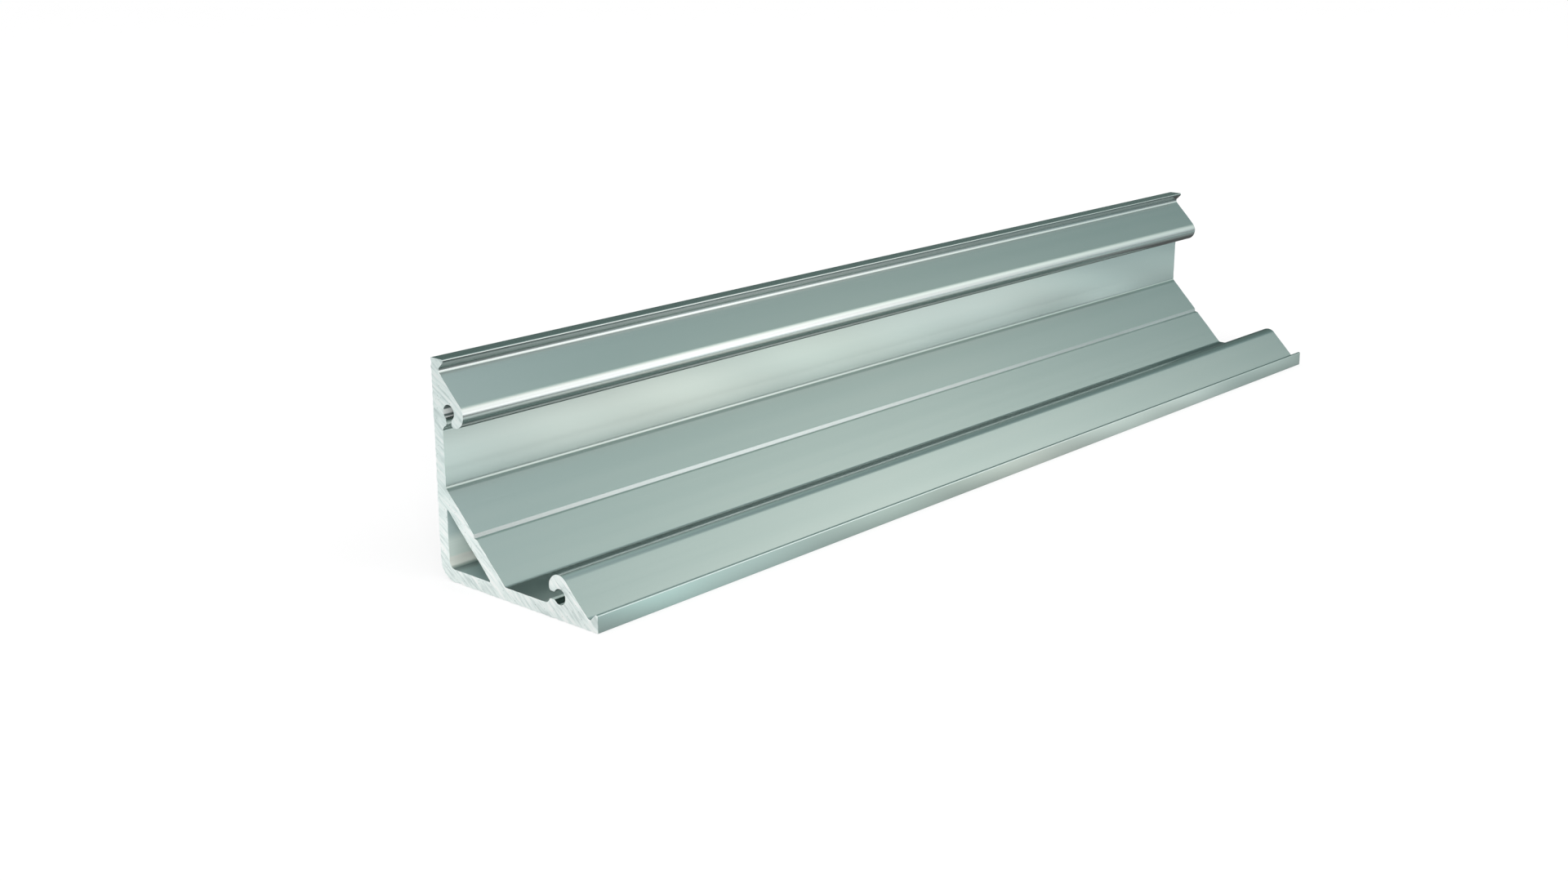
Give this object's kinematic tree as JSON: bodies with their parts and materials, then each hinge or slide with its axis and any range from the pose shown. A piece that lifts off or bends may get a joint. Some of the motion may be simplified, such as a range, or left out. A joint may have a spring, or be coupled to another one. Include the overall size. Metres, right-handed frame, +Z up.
{
  "type": "corner led strip profile",
  "caption": "Right-angle aluminium bar with a sloping web as the seat of a light strip, hooked round grooves that hold a snap-in cover, lipped leg tips and a hollow heel.",
  "frame": {"origin": "centre of the bar's length and of its width, on the underside of the lower leg", "axes": "+X along the bar, +Y out of the flat outer face of the upright leg, +Z up; the lower leg reaches toward -Y and the channel opens toward -Y and +Z"},
  "size_m": [0.122, 0.02, 0.02],
  "materials": {
    "anodised_aluminium": "satin natural anodised faces with a faint grey-green tint, bare saw-cut ends"
  },
  "bodies": {
    "root": {"extrusion": "anodised_aluminium"}
  },
  "joints": []
}
